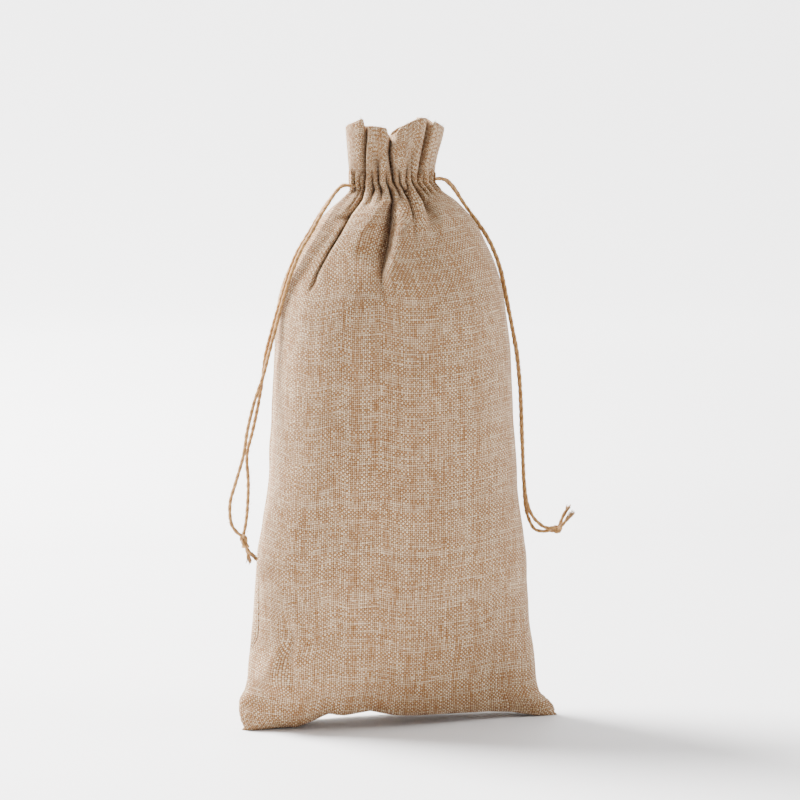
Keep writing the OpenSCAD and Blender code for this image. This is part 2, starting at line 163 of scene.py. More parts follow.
# Height of the lifted front edge of the base against x, and how far the ears and the lower
# corners stand out from the outline at a height, on the left and on the right
FRONT_LIFT = [(-80, 0), (-52, 0.5), (-45, 2.9), (-38, 6.2), (-35, 7.4), (-31, 6.4), (-27, 6.1),
              (-20, 7.2), (-14, 8.2), (-8, 6.8), (0, 5.2), (10, 4.6), (30, 4.4), (50, 3.8),
              (62, 2.5), (72, 0.5), (80, 0)]
LEFT_CORNER = [(0, -4.4), (4.5, -0.8), (9, 1.8), (15, 3.2), (20, 1), (26, 0)]
RIGHT_CORNER = [(0, 3.4), (3, 4.7), (5, 4.6), (7, 3.8), (12, 0), (22, 0.3), (38, 0.5), (50, 0)]
# How far the filled bag leans to its right at a height
LEAN = [(0, 0), (235, 0), (246, 0.6), (257, 1.5), (264, 2.2), (272, 2.8), (278, 1.5), (281, 0),
        (315, 0)]

# Drawstring places and routes, in millimetres, as the frame has them
LEFT_EXIT = (-25.5, 0, 279.5)
RIGHT_EXIT = (25.5, 0, 282.5)
STRANDS = {
    "left_front": [
        (-25.5, -1.3, 279.5), (-27.8, -1.9, 278), (-30.4, -3.4, 275.4), (-34, -6.5, 271),
        (-38.8, -9.5, 264.5), (-43.5, -11.5, 256.5), (-48.6, -12.2, 248.5), (-53.5, -11.8, 237),
        (-57.8, -10.2, 223), (-61.4, -8.5, 209), (-65, -7.5, 195), (-68, -7, 183.5),
        (-72.6, -6.5, 170), (-76, -6, 156), (-78.2, -6, 143), (-82.2, -6, 129.5),
        (-85.2, -6, 119), (-84.8, -6, 109), (-82, -6, 104), (-79.5, -6, 102)],
    "left_back": [
        (-25.5, 1.3, 279.5), (-27.8, 0.7, 277.6), (-30.6, -0.7, 274.6), (-34.7, -3.8, 270),
        (-40, -6.9, 263), (-45.2, -8.9, 255), (-50.3, -9.3, 247), (-54.7, -8.9, 236.5),
        (-58.8, -7.4, 222.5), (-62.6, -6, 209), (-66.2, -5, 195), (-67.8, -4.4, 183),
        (-70, -4, 169.5), (-73, -3.6, 155.5), (-76, -3.4, 143), (-75.5, -4, 129),
        (-76, -4.6, 118), (-77, -5, 108.5), (-78.5, -5.6, 102)],
    "right_front": [
        (25.5, -1.3, 282.5), (28.2, -1.2, 281.2), (31.7, -1, 277.4), (36.2, -0.9, 271.2),
        (41.7, -0.7, 263.7), (48.3, -0.4, 255), (53, 0, 246.5), (57, 0.4, 236),
        (60, 0.8, 223.5), (63, 1, 208.5), (66.2, 1, 192.5), (68.2, 1, 172.5),
        (69.2, 1, 152), (69.8, 1, 136), (70.6, 0.8, 122.5), (72, 0.4, 113),
        (75, 0, 105.5), (80, -0.6, 100.5), (84.2, -1, 99)],
    "right_back": [
        (25.5, 1.3, 282.5), (28.8, 1.4, 281.6), (32.8, 1.6, 277.6), (37.2, 1.8, 270.5),
        (43, 1.9, 262.5), (49.2, 2.3, 253.5), (54, 2.7, 244.5), (57.5, 3, 234),
        (60.3, 3.4, 221.5), (63.4, 3.6, 207.5), (66.4, 3.6, 191), (68.4, 3.6, 172),
        (69.3, 3.6, 152), (70.2, 3.6, 135.5), (70.8, 3.2, 121), (72, 2.4, 108.5),
        (75.5, 1.4, 99.5), (80, 0.4, 97.5), (84.2, -0.4, 98)],
}
TAILS = {
    "left_front": [(-77.6, -6.4, 96.5), (-76, -6.8, 94), (-74, -7.2, 91.6), (-71.8, -7.6, 89.2)],
    "left_back": [(-77.2, -5.4, 96.5), (-76.4, -4.6, 93.4), (-75.6, -4, 90.2), (-75, -3.6, 87)],
    "right_front": [(88.8, -1.6, 99.2), (91.4, -2, 102), (93.8, -2.4, 105), (96.2, -2.6, 108)],
    "right_back": [(89, -0.6, 99.8), (90.6, 0, 103.5), (92.6, 0.4, 107.5), (94.8, 0.6, 111)],
}
# Middle of each knot, and the way its tails leave it
KNOTS = {
    "left": ((-78, -6, 98.5), (0.25, 0, -1)),
    "right": ((87.2, -1.2, 98.5), (1, -0.1, -0.05)),
}

# Camera: degrees to the side and upwards, then metres
CAMERA_AZIMUTH = -11
CAMERA_ELEVATION = 7.5
CAMERA_DISTANCE = 1.30
CAMERA_HEIGHT = 0.169  # height of the point it looks at
CAMERA_SHIFT = 0.004  # that point's shift to the right
VIEW_WIDTH = 0.412  # width of the view at that point
SENSOR_WIDTH = 36
# Lights: name, place, aim, size in metres, and power in watts
LIGHTS = [
    ("key_light", (-1.15, 0.8, 1.6), (0, 0, 0.1), 1.0, 362),
    ("top_light", (-0.1, -0.1, 1.9), (0, 0, 0.1), 0.9, 5),
    ("side_light", (1.2, -0.35, 1.4), (0, 0, 0.15), 0.8, 27),
]
SKY_STRENGTH = 0.105
BACK_GLOW = 2.4  # strength of the painted glow where the sweep is far back


# ---------------------------------------------------------------- helpers

def new_object(name, vertices, faces, uvs=None, material=None):
    """A mesh object from points in millimetres. uvs holds one (u, v) for each vertex."""
    mesh = bpy.data.meshes.new(name)
    mesh.from_pydata([tuple(float(c) * MM for c in p) for p in vertices], [], faces)
    if uvs is not None:
        layer = mesh.uv_layers.new(name="UVMap")
        corner = np.empty(len(mesh.loops), dtype=np.int32)
        mesh.loops.foreach_get("vertex_index", corner)
        layer.data.foreach_set("uv", np.asarray(uvs, dtype=np.float32)[corner].ravel())
    mesh.polygons.foreach_set("use_smooth", [True] * len(mesh.polygons))
    if material:
        mesh.materials.append(material)
    mesh.validate()
    obj = bpy.data.objects.new(name, mesh)
    bpy.context.scene.collection.objects.link(obj)
    return obj


def apply_modifiers(obj):
    """Makes the evaluated mesh the object's own."""
    graph = bpy.context.evaluated_depsgraph_get()
    baked = bpy.data.meshes.new_from_object(obj.evaluated_get(graph), depsgraph=graph)
    obj.modifiers.clear()
    obj.data = baked


def catmull(points, steps):
    """A smooth line through the points, with steps pieces between each two."""
    p = np.asarray(points, dtype=float)
    p = np.vstack([2 * p[0] - p[1], p, 2 * p[-1] - p[-2]])
    t = np.linspace(0, 1, steps, endpoint=False)[:, None]
    line = []
    for i in range(1, len(p) - 2):
        a, b, c, d = p[i - 1], p[i], p[i + 1], p[i + 2]
        line.append(0.5 * (2 * b + (c - a) * t + (2 * a - 5 * b + 4 * c - d) * t ** 2
                           + (3 * b - a - 3 * c + d) * t ** 3))
    return np.vstack(line + [p[-2:-1]])


def lengths(points):
    """Distance along a line at each of its points."""
    gaps = np.linalg.norm(np.diff(points, axis=0), axis=1)
    return np.concatenate([[0], np.cumsum(gaps)])


def even(points, step):
    """The same line with its points about step apart."""
    along = lengths(points)
    count = max(2, int(round(along[-1] / step)) + 1)
    at = np.linspace(0, along[-1], count)
    return np.stack([np.interp(at, along, points[:, k]) for k in range(points.shape[1])], axis=1)


def smoothstep(low, high, value):
    """0 at low, 1 at high, and a soft slope between."""
    t = np.clip((np.asarray(value, dtype=float) - low) / (high - low), 0, 1)
    return t * t * (3 - 2 * t)


def band(value, low, low_end, high, high_end):
    """0 below low, 1 from low_end to high, and 0 again from high_end up."""
    return smoothstep(low, low_end, value) * (1 - smoothstep(high, high_end, value))


def bell(*shares):
    """A round hill: 1 where every share is 0, and near 0 where one is 2 or more."""
    return np.exp(-sum(share ** 2 for share in shares))


def table(rows, value):
    """The second number of the rows, read off at a value of the first."""
    return np.interp(value, [r[0] for r in rows], [r[1] for r in rows])


# ---------------------------------------------------------------- materials

class Nodes:
    """Short calls for building a node tree."""

    def __init__(self, name, roughness, **sockets):
        self.material = bpy.data.materials.new(name)
        self.material.use_nodes = True
        self.tree = self.material.node_tree
        self.shader = self.tree.nodes["Principled BSDF"]
        self.shader.inputs["Roughness"].default_value = roughness
        for socket, value in sockets.items():
            self.shader.inputs[socket.replace("_", " ")].default_value = value

    def put(self, socket, value):
        if isinstance(value, bpy.types.NodeSocket):
            self.tree.links.new(value, socket)
        elif value is not None:
            socket.default_value = value

    def math(self, operation, a, b=None, c=None, clamp=False):
        node = self.tree.nodes.new("ShaderNodeMath")
        node.operation = operation
        node.use_clamp = clamp
        for socket, value in zip(node.inputs, (a, b, c)):
            self.put(socket, value)
        return node.outputs[0]

    def times(self, a, b, clamp=False):
        return self.math("MULTIPLY", a, b, clamp=clamp)

    def uv(self):
        node = self.tree.nodes.new("ShaderNodeUVMap")
        node.uv_map = "UVMap"
        split = self.tree.nodes.new("ShaderNodeSeparateXYZ")
        self.tree.links.new(node.outputs[0], split.inputs[0])
        return split.outputs[0], split.outputs[1]

    def vector(self, x, y, z=0.0):
        node = self.tree.nodes.new("ShaderNodeCombineXYZ")
        for socket, value in zip(node.inputs, (x, y, z)):
            self.put(socket, value)
        return node.outputs[0]

    def noise(self, vector, scale=1.0, detail=2.0):
        node = self.tree.nodes.new("ShaderNodeTexNoise")
        self.put(node.inputs["Vector"], vector)
        node.inputs["Scale"].default_value = scale
        node.inputs["Detail"].default_value = detail
        return node.outputs["Fac"]

    def white(self, vector):
        node = self.tree.nodes.new("ShaderNodeTexWhiteNoise")
        self.put(node.inputs["Vector"], vector)
        return node.outputs["Value"]

    def mix(self, factor, a, b):
        node = self.tree.nodes.new("ShaderNodeMix")
        node.data_type = "RGBA"
        self.put(node.inputs[0], factor)
        self.put(node.inputs[6], a)
        self.put(node.inputs[7], b)
        return node.outputs[2]

    def multiply(self, color, factor):
        node = self.tree.nodes.new("ShaderNodeVectorMath")
        node.operation = "SCALE"
        self.put(node.inputs[0], color)
        self.put(node.inputs["Scale"], factor)
        return node.outputs[0]

    def bump(self, height, distance):
        node = self.tree.nodes.new("ShaderNodeBump")
        node.inputs["Strength"].default_value = 1.0
        node.inputs["Distance"].default_value = distance
        self.put(node.inputs["Height"], height)
        self.tree.links.new(node.outputs[0], self.shader.inputs["Normal"])

    def color(self, value):
        self.put(self.shader.inputs["Base Color"], value)


CREAM = (0.70, 0.545, 0.355, 1)
SAND = (0.31, 0.165, 0.07, 1)
TAN = (0.14, 0.054, 0.017, 1)
# near black painted shade, seen in the gaps between the threads
HOLE_SHADE = (0.014, 0.006, 0.003, 1)
PITCH = 1.08  # distance between two threads of the weave


def linen_material():
    """Plain weave of slubby yarn, one thread per UV unit, cream over tan, with painted shade where the
    threads dip low and in the gaps between them.
    """
    n = Nodes("linen_weave", 0.82, Sheen_Weight=0.08, Sheen_Roughness=0.45,
              Specular_IOR_Level=0.2)
    u, v = n.uv()
    # each thread wanders slowly along itself, by up to this many threads
    wander, beside, along_it = 1.2, 0.35, 0.045
    wander_u = n.noise(n.vector(n.times(u, beside), n.times(v, along_it)), 1, 2)
    wander_v = n.noise(n.vector(n.times(u, along_it), n.times(v, beside), 7), 1, 2)
    x = n.math("ADD", u, n.times(wander_u, wander))
    y = n.math("ADD", v, n.times(wander_v, wander))
    column, row = n.math("FLOOR", x), n.math("FLOOR", y)
    across_x = n.math("SUBTRACT", n.math("FRACT", x), 0.5)
    across_y = n.math("SUBTRACT", n.math("FRACT", y), 0.5)
    parity = n.math("MODULO", n.math("ADD", n.math("ADD", column, row), 4000), 2)
    side = n.math("MULTIPLY_ADD", parity, 2, -1)

    def thread(index, along, across, phase, seed):
        """Round profile, over and under wave, tone and slub of one set of threads."""
        tone = n.white(n.vector(index, seed))
        slub = n.noise(n.vector(n.times(index, 17.3), n.times(along, 0.16), seed), 1, 2)
        width = n.math("MULTIPLY_ADD", slub, 0.55, 0.68)
        off = n.math("DIVIDE", n.times(across, 2), width)
        inside = n.math("MAXIMUM", n.math("SUBTRACT", 1, n.times(off, off)), 0)
        round_part = n.math("SQRT", inside)
        wave = n.math("COSINE", n.times(phase, math.pi))
        return round_part, wave, tone, slub

    warp_round, warp_wave, warp_tone, warp_slub = thread(column, y, across_x, across_y, 3.7)
    weft_round, weft_wave, weft_tone, weft_slub = thread(row, x, across_y, across_x, 9.1)
    warp_lift = n.math("MULTIPLY_ADD", n.times(warp_wave, side), 0.5, 0.5)
    weft_lift = n.math("MULTIPLY_ADD", n.times(weft_wave, side), -0.5, 0.5)
    warp_high = n.times(warp_round, warp_lift)
    weft_high = n.times(weft_round, weft_lift)
    height = n.math("MAXIMUM", warp_high, weft_high)
    warp_on_top = n.math("GREATER_THAN", warp_high, weft_high)

    def yarn(tone, slub, lift):
        """Colour of one yarn: its own tone, paler where it is thick."""
        pale = n.math("ADD", n.math("MULTIPLY_ADD", tone, 0.55, lift),
                      n.times(n.math("SUBTRACT", slub, 0.5), 2.0), clamp=True)
        return n.mix(pale, SAND, CREAM)

    top = n.mix(warp_on_top, yarn(weft_tone, weft_slub, -0.12), yarn(warp_tone, warp_slub, 0.38))
    cover = n.times(n.math("SUBTRACT", height, 0.42), 3.2, clamp=True)
    # painted shade: the threads darken to tan where they dip low, and to near black in the gaps
    low = n.mix(n.times(height, 3.2, clamp=True), HOLE_SHADE, TAN)
    patch = n.noise(n.vector(n.times(u, 0.03), n.times(v, 0.03), 3), 1, 3)
    color = n.multiply(n.mix(cover, low, top), n.math("MULTIPLY_ADD", patch, 0.25, 0.875))
    n.color(color)
    fibre = n.noise(n.vector(n.times(u, 5), n.times(v, 5)), 1, 2)
    n.bump(n.math("ADD", height, n.times(fibre, 0.12)), 0.00035)
    return n.material


def jute_material():
    """Golden jute: fibres run along the twist, with painted shade in the grooves between the plies."""
    n = Nodes("jute_twine", 0.72, Sheen_Weight=0.15, Sheen_Roughness=0.4, Specular_IOR_Level=0.35)
    u, v = n.uv()
    along = n.math("ADD", n.times(v, 0.9), n.times(u, 2.0))
    fibres = n.noise(n.vector(n.times(u, 26), along), 1, 3)
    patches = n.noise(n.vector(n.times(v, 0.35), 2.5), 1, 2)
    groove = n.math("ABSOLUTE", n.math("COSINE", n.times(u, 2 * math.pi)))
    tone = n.math("MULTIPLY_ADD", n.math("SUBTRACT", fibres, 0.5), 2.6,
                  n.math("MULTIPLY_ADD", patches, 0.8, 0.1), clamp=True)
    body = n.mix(tone, (0.23, 0.10, 0.028, 1), (0.56, 0.32, 0.11, 1))
    # painted shade darkens the twine along the grooves between the plies
    color = n.mix(n.math("MULTIPLY_ADD", groove, 1.9, 0.1, clamp=True), (0.11, 0.045, 0.014, 1), body)
    n.color(color)
    n.bump(fibres, 0.0003)
    return n.material


def thread_material():
    """Fine sewing thread with its own twist."""
    n = Nodes("sewing_thread", 0.5, Sheen_Weight=0.2, Specular_IOR_Level=0.45)
    u, v = n.uv()
    twist = n.math("SINE", n.math("MULTIPLY_ADD", v, 12, n.times(u, 2 * math.pi)))
    shade = n.math("MULTIPLY_ADD", twist, 0.5, 0.5)
    n.color(n.mix(shade, (0.34, 0.23, 0.13, 1), (0.60, 0.46, 0.30, 1)))
    n.bump(shade, 0.0001)
    return n.material


def paper_floor_material():
    """Matt white sweep: faintly mottled, with painted shade that darkens it far in front, and a painted
    glow where it is far back.
    """
    n = Nodes("pale_floor", 0.6, Specular_IOR_Level=0.2)
    place = n.tree.nodes.new("ShaderNodeTexCoord").outputs["Object"]
    mottle = n.noise(place, 6, 3)
    split = n.tree.nodes.new("ShaderNodeSeparateXYZ")
    n.tree.links.new(place, split.inputs[0])
    # painted shade: the sweep's colour darkens far in front
    ahead = n.math("MULTIPLY_ADD", split.outputs[1], 1.05, 1.4, clamp=True)
    sweep = n.mix(mottle, (0.67, 0.66, 0.66, 1), (0.70, 0.69, 0.69, 1))
    n.color(n.multiply(sweep, n.math("MULTIPLY_ADD", ahead, 0.64, 0.36)))
    # painted glow: the sweep gives off light where it is far back, more to the left
    far_back = n.times(n.math("SUBTRACT", split.outputs[1], 0.5), 0.7, clamp=True)
    leftward = n.math("MULTIPLY_ADD", split.outputs[0], -0.22, 1.0)
    n.put(n.shader.inputs["Emission Color"], (1, 1, 1, 1))
    n.put(n.shader.inputs["Emission Strength"], n.times(n.times(far_back, leftward), BACK_GLOW))
    return n.material


LINEN = linen_material()
JUTE = jute_material()
THREAD = thread_material()


# ---------------------------------------------------------------- camera

def make_camera():
    """The camera, in front of the bag, a little to its left and a little above."""
    azimuth, elevation = math.radians(CAMERA_AZIMUTH), math.radians(CAMERA_ELEVATION)
    across = Vector((math.cos(azimuth), math.sin(azimuth), 0))
    back = Vector((math.sin(azimuth) * math.cos(elevation), -math.cos(azimuth) * math.cos(elevation),
                   math.sin(elevation)))
    target = Vector((0, 0, CAMERA_HEIGHT)) + across * CAMERA_SHIFT
    data = bpy.data.cameras.new("camera")
    data.sensor_width = SENSOR_WIDTH
    data.lens = SENSOR_WIDTH * CAMERA_DISTANCE / VIEW_WIDTH
    camera = bpy.data.objects.new("camera", data)
    camera.location = target + back * CAMERA_DISTANCE
    camera.rotation_mode = "QUATERNION"
    camera.rotation_quaternion = (-back).to_track_quat("-Z", "Y")
    bpy.context.scene.collection.objects.link(camera)
    bpy.context.scene.camera = camera


make_camera()


# ---------------------------------------------------------------- twine

ANY_WAY = (0.3, 0.9, 0.1)  # a direction that no line starts along


def tube_mesh(line, radius, sides, plies=0, turn=PLY_TURN, ends=True):
    """Rings round a line. radius is a number or one for each point; plies cuts the twist's grooves."""
    line = np.asarray(line, dtype=float)
    count = len(line)
    along = lengths(line)
    tangent = np.gradient(line, axis=0)
    tangent /= np.linalg.norm(tangent, axis=1)[:, None]
    normal = np.cross(tangent[0], ANY_WAY)
    normal /= np.linalg.norm(normal)
    angle = np.linspace(0, 2 * math.pi, sides, endpoint=False)
    radii = np.broadcast_to(radius, (count,))
    points, uvs, faces = [], [], []
    for i in range(count):
        normal = normal - tangent[i] * np.dot(normal, tangent[i])
        normal /= np.linalg.norm(normal)
        side = np.cross(tangent[i], normal)
        twist = 2 * math.pi * along[i] / turn if plies else 0
        for a in angle:
            groove = 1 - GROOVE + GROOVE * abs(math.cos((a - twist) * plies / 2)) if plies else 1
            points.append(line[i] + radii[i] * groove * (math.cos(a) * normal + math.sin(a) * side))
            uvs.append(((a - twist) * max(plies, 2) / (4 * math.pi), along[i]))
    for i in range(count - 1):
        for k in range(sides):
            m = (k + 1) % sides
            faces.append((i * sides + k, i * sides + m, (i + 1) * sides + m, (i + 1) * sides + k))
    if ends:
        faces.append(tuple(range(sides))[::-1])
        faces.append(tuple((count - 1) * sides + k for k in range(sides)))
    return points, faces, uvs


def joined(parts):
    """Several (points, faces, uvs) as one."""
    points, faces, uvs = [], [], []
    for p, f, t in parts:
        base = len(points)
        points += list(p)
        faces += [tuple(base + i for i in face) for face in f]
        uvs += list(t)
    return points, faces, uvs


def twine_radius(line, seed):
    """The twine's radius along a line, a little uneven."""
    along = lengths(line)
    return np.array([TWINE / 2 * (0.97 + 0.16 * noise.noise((s * 0.16, seed, 0))) for s in along])


def hairs(line, count, seed, longest):
    """Loose fibres standing off a twine."""
    rng = random.Random(seed)
    along = lengths(line)
    parts = []
    for _ in range(count):
        i = rng.randrange(4, len(line) - 4)
        tangent = Vector(line[i + 1] - line[i - 1]).normalized()
        out = Vector((rng.gauss(0, 1), rng.gauss(0, 1), rng.gauss(0, 1)))
        out = (out - tangent * out.dot(tangent)).normalized()
        length = rng.uniform(0.5, longest)
        lean = rng.uniform(-1.6, 1.6)
        start = Vector(line[i]) + out * TWINE * 0.36
        mid = start + (out * 0.55 + tangent * lean * 0.5).normalized() * length * 0.55
        end = mid + (out * 0.3 + tangent * lean + Vector((0, 0, -0.2))).normalized() * length * 0.5
        parts.append(tube_mesh(catmull([start, mid, end], 3), 0.055, 3))
    return joined(parts)


def knot_mesh(place, way):
    """An overhand knot pulled tight, of the doubled twine."""
    t = np.linspace(0, 2 * math.pi, 91)
    size = 0.86
    stretch = np.array([0.92, 1.25, 0.95])
    loop = np.stack([(np.sin(t) + 2 * np.sin(2 * t)) * size, (np.cos(t) - 2 * np.cos(2 * t)) * size,
                     -np.sin(3 * t) * size * 1.15], axis=1)
    way = Vector(way).normalized()
    turn = np.array(way.to_track_quat("Y", "Z").to_matrix())
    loop = (loop * stretch) @ turn.T + np.array(place)
    return tube_mesh(loop, TWINE * 0.5 * 1.08, TWINE_SIDES, PLIES, TIGHT_TURN, False)


def tail_mesh(points, seed):
    """A cut end: twisted at first, then opened into fibres."""
    rng = random.Random(seed)
    line = even(catmull(points, 8), 0.4)
    bound = line[: int(len(line) * 0.62)]
    radius = np.linspace(TWINE / 2, TWINE / 2 * 0.9, len(bound))
    parts = [tube_mesh(bound, radius, 12, PLIES, TIGHT_TURN)]
    start = Vector(bound[-3])
    reach = (Vector(line[-1]) - start).length
    forward = (Vector(line[-1]) - start).normalized()
    for _ in range(48):
        spread = Vector((rng.gauss(0, 1), rng.gauss(0, 1), rng.gauss(0, 1))) * 0.17
        away = (forward + spread).normalized()
        length = reach * rng.uniform(0.65, 1.05)
        root = start + Vector((rng.uniform(-0.7, 0.7), rng.uniform(-0.7, 0.7), rng.uniform(-0.7, 0.7)))
        mid = root + (forward * 0.7 + away * 0.5).normalized() * length * 0.5
        curl = Vector((rng.uniform(-0.4, 0.4), rng.uniform(-0.4, 0.4), rng.uniform(-0.5, 0.3)))
        end = mid + (away + curl * 0.6).normalized() * length * 0.5
        strand = catmull([root, mid, end], 5)
        parts.append(tube_mesh(strand, np.linspace(rng.uniform(0.2, 0.33), 0.12, len(strand)), 4))
    return joined(parts)


def loop_line(side, exit_point):
    """The drawstring inside the casing: in at its own slit, round at the other, and back."""
    x, _, z = exit_point
    turn_x = -side * LOOP_REACH
    run = LOOP_DEPTH
    front = [(x, -1.3, z), (x - side * 2.5, -1.5, z), (x - side * 8, -run, z),
             (side * 6, -run - 0.2, z), (turn_x * 0.5, -run, z), (turn_x, -run * 0.9, z)]
    bend = [(turn_x - side * 1.7, -run * 0.45, z), (turn_x - side * 2.2, 0, z),
            (turn_x - side * 1.7, run * 0.45, z)]
    back = [(px, -py, pz) for px, py, pz in reversed(front)]
    return even(catmull(front + bend + back, 8), TWINE_STEP)


def make_drawstring(side_name, side, exit_point, seed):
    """One drawstring: its loop, knot, and two strands, each with its fibres and its tail."""
    loop_body, strand_body = side_name + "_loop", side_name + "_strands"
    line = loop_line(side, exit_point)
    loop = new_object(side_name + "_drawstring_in_casing",
                      *tube_mesh(line, twine_radius(line, seed), TWINE_SIDES, PLIES), material=JUTE)
    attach(loop, loop_body)
    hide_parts(side_name + "_drawstring_loop")

    knot = new_object(side_name + "_knot_tied", *knot_mesh(*KNOTS[side_name]), material=JUTE)
    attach(knot, strand_body)
    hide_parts(side_name + "_knot")

    for k, face in enumerate(("front", "back")):
        name = side_name + "_" + face
        path = even(catmull(STRANDS[name], 10), TWINE_STEP)
        tail = new_object(name + "_frayed_tail", *tail_mesh(TAILS[name], seed + k), material=JUTE)
        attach(tail, strand_body)
        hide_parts(name + "_tail")
        fuzz = new_object(name + "_fibres", *hairs(path[20:], 150, seed + 10 + k, 2.6), material=JUTE)
        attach(fuzz, strand_body)
        mesh = tube_mesh(path, twine_radius(path, seed + k), TWINE_SIDES, PLIES)
        strand = new_object(name + "_twine", *mesh, material=JUTE)
        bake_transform(strand)
        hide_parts(name + "_strand")


make_drawstring("left", -1, LEFT_EXIT, 3)
make_drawstring("right", 1, RIGHT_EXIT, 5)


# ---------------------------------------------------------------- cloth

def outline_rows():
    """Half width, half depth, height and roundness of every mesh row, from the floor up."""
    line = catmull(OUTLINE, 24)
    path = lengths(np.stack([line[:, 1], line[:, 2]], axis=1))
    shoulder = np.interp(SHOULDER_Z, line[:, 2], path)
    low = np.arange(0, shoulder, BODY_STEP)
    high = np.linspace(shoulder, path[-1], int((path[-1] - shoulder) / NECK_STEP))
    at = np.concatenate([low, high])
    return np.stack([np.interp(at, path, line[:, k]) for k in range(4)], axis=1)


def hull(a, b, roundness):
    """The front half of the outline at one height, left to right and even, and the way along it."""
    theta = np.linspace(math.pi, 0, 1601)
    c, s = np.cos(theta), np.sin(theta)
    x = a * np.sign(c) * np.abs(c) ** (2 / roundness)
    y = -b * np.abs(s) ** (2 / roundness)
    points = np.stack([x, y], axis=1)
    along = lengths(points)
    at = np.linspace(0, along[-1], HULL_POINTS)
    return np.stack([np.interp(at, along, points[:, k]) for k in range(2)], axis=1), at


def fold_state(folds, z):
    """(x, depth, left width, right width) of each fold at height z."""
    rows = []
    for _, keys in folds:
        heights = [k[0] for k in keys]
        rows.append([np.interp(z, heights, [k[c] for k in keys]) for c in range(1, 5)])
        runs_out = z > heights[-1] and keys[-1][2] == 0
        if z < heights[0] or z > max(heights[-1], TOP_Z - 0.01) or runs_out:
            rows[-1][1] = 0
    return np.array(rows)


def dip(distance, width, depth):
    """1 at a fold's bottom, 0 from its width out: a soft valley if shallow, a crease if deep."""
    t = np.clip(1 - distance / width, 0, 1)
    sharp = 1.22 if width > 6 else 1.9
    crease = 1 - np.maximum(1 - t ** sharp, 0) ** (1 / sharp)
    soft = t * t * (3 - 2 * t)
    tight = float(smoothstep(0.35, 1.3, depth / min(width, 5)))
    return soft * (1 - tight) + crease * tight


def section(row, folds, scale):
    """One row's plan line with its folds, the way along it, and each fold's bottom and depth."""
    a, b, z, roundness = row
    line, even_at = hull(a, b, roundness)
    state = fold_state(folds, z)
    places = np.interp(state[:, 0], line[:, 0], even_at)
    depths = np.minimum(state[:, 1] * scale, max(b - 1.0, 0))
    # room to the next fold on each side, and past the two side seams
    gaps = np.diff(np.concatenate([[-4], places, [even_at[-1] + 4]]))
    at = np.sort(np.concatenate([even_at, places]))
    line = np.stack([np.interp(at, even_at, line[:, k]) for k in range(2)], axis=1)
    tangent = np.gradient(line, axis=0)
    tangent /= np.maximum(np.linalg.norm(tangent, axis=1), 1e-9)[:, None]
    inward = np.stack([-tangent[:, 1], tangent[:, 0]], axis=1)
    total = np.zeros(len(at))
    for i, place in enumerate(places):
        if depths[i] < 0.02:
            continue
        near_left = depths[i - 1] / depths[i] if i else 0
        near_right = depths[i + 1] / depths[i] if i + 1 < len(depths) else 0
        left = min(state[i, 2], 0.5 * gaps[i] / max(min(near_left, 1), 0.05) ** 0.7)
        right = min(state[i, 3], 0.5 * gaps[i + 1] / max(min(near_right, 1), 0.05) ** 0.7)
        offset = at - place
        shape = np.where(offset < 0, dip(-offset, max(left, 0.3), depths[i]),
                         dip(offset, max(right, 0.3), depths[i]))
        total = np.maximum(total, depths[i] * shape)
    ends = smoothstep(0, 2.5, np.minimum(at, at[-1] - at))
    folded = line + inward * (total * ends)[:, None]
    along = lengths(folded)
    return folded, along, np.interp(places, at, along), depths


def fitted_section(row, folds):
    """The section whose folds take up the cloth that the outline is too short for."""
    if row[2] < SHOULDER_Z:
        return section(row, folds, 1)
    low, high = 0.5, 1.3
    start = float(smoothstep(SHOULDER_Z, SHOULDER_Z + 20, row[2]))
    for _ in range(7):
        scale = (low + high) / 2
        found = section(row, folds, 1 + (scale - 1) * start)
        if found[1][-1] < 2 * HALF_FLAT:
            low = scale
        else:
            high = scale
    return found


def panel_grid(folds, tops, mirrored):
    """Points of one panel, rows by columns, in millimetres, and the flat place of each."""
    rows = outline_rows()
    flat = np.linspace(-HALF_FLAT, HALF_FLAT, COLUMNS)
    fold_places = np.array([f[0] for f in folds])
    grid = np.zeros((len(rows), COLUMNS, 3))
    for j, row in enumerate(rows):
        line, along, bottoms, depths = fitted_section(row, folds)
        plain = (fold_places + HALF_FLAT) / (2 * HALF_FLAT) * along[-1]
        pull = smoothstep(0.2, 3.5, depths)
        knots = np.maximum.accumulate(plain + (bottoms - plain) * pull)
        target = np.interp(flat, np.concatenate([[-HALF_FLAT], fold_places, [HALF_FLAT]]),
                           np.concatenate([[0], knots, [along[-1]]]))
        for axis in range(2):
            grid[j, :, axis] = np.interp(target, along, line[:, axis])
        grid[j, :, 2] = row[2]
    # the ruffle's top edge and its lean
    rise = np.clip((grid[:, :, 2] - CASING_HIGH) / (TOP_Z - CASING_HIGH), 0, 1)
    edge = np.interp(grid[:, :, 0], [t[0] for t in tops], [t[1] for t in tops])
    grid[:, :, 2] -= rise * (TOP_Z - edge)
    grid[:, :, 0] += RUFFLE_SHIFT * smoothstep(0, 1, rise)
    if mirrored:
        grid[:, :, 1] *= -1
    return grid, flat


def relax(grid, folds_from, rounds):
    """Evens the mesh out a little, most where folds meet."""
    for _ in range(rounds):
        inner = grid[1:-1, 1:-1]
        average = (grid[:-2, 1:-1] + grid[2:, 1:-1] + grid[1:-1, :-2] + grid[1:-1, 2:]) / 4
        weight = 0.35 * smoothstep(folds_from - 20, folds_from + 10, inner[:, :, 2:3]) + 0.08
        inner += (average - inner) * weight
    return grid


